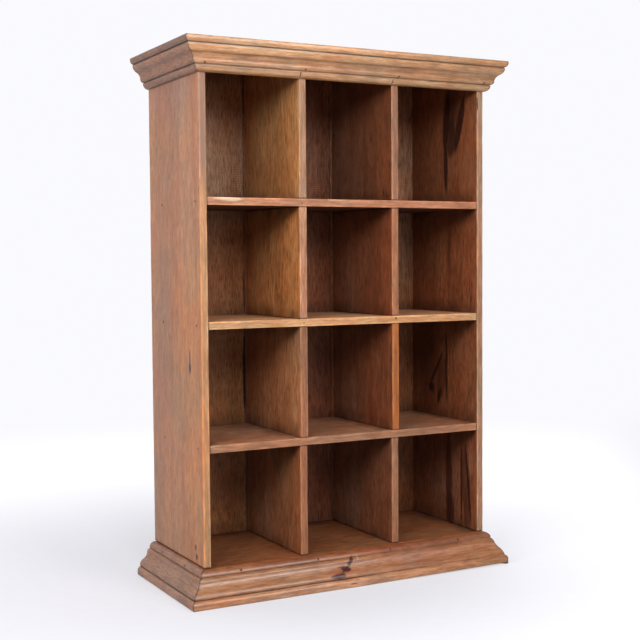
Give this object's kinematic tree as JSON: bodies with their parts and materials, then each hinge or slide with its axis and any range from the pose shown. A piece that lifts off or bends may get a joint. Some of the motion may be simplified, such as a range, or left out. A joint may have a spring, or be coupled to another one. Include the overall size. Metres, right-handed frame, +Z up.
{
  "type": "pigeonhole shelf",
  "caption": "Free-standing open-front wooden rack of square pigeonholes between boarded sides and back, with a mitred moulded cornice and plinth, for sorting letters or small goods.",
  "frame": {"origin": "on the floor, in the middle of the whole part's width and depth", "axes": "+Z up, open front towards -Y, +X to the right as seen from the front"},
  "size_m": [0.605, 0.2574, 0.892],
  "materials": {
    "side_wood": "oiled satin hardwood",
    "shelf_wood": "oiled satin hardwood",
    "divider_wood": "oiled satin hardwood",
    "back_wood": "oiled satin hardwood",
    "moulding_wood": "oiled satin hardwood",
    "plain_wood": "oiled satin hardwood",
    "nail_iron": "dark, hammered heads"
  },
  "bodies": {
    "root": {"left_side": "side_wood", "right_side": "side_wood", "upper_shelf": "shelf_wood", "middle_shelf": "shelf_wood", "lower_shelf": "shelf_wood", "bottom_board": "shelf_wood", "top_row_left_divider": "divider_wood", "top_row_right_divider": "divider_wood", "second_row_left_divider": "divider_wood", "second_row_right_divider": "divider_wood", "third_row_left_divider": "divider_wood", "third_row_right_divider": "divider_wood", "bottom_row_left_divider": "divider_wood", "bottom_row_right_divider": "divider_wood", "left_back_board": "back_wood", "middle_back_board": "back_wood", "right_back_board": "back_wood", "cornice_front": "moulding_wood", "cornice_left": "moulding_wood", "cornice_right": "moulding_wood", "plinth_front": "moulding_wood", "plinth_left": "moulding_wood", "plinth_right": "moulding_wood", "top_board": "plain_wood", "plinth_back_rail": "plain_wood", "plinth_glue_blocks": "plain_wood", "shelf_nails": "nail_iron", "top_nails": "nail_iron", "bottom_nails": "nail_iron", "divider_nails": "nail_iron", "back_nails": "nail_iron", "cornice_pins": "nail_iron", "plinth_pins": "nail_iron"}
  },
  "joints": []
}
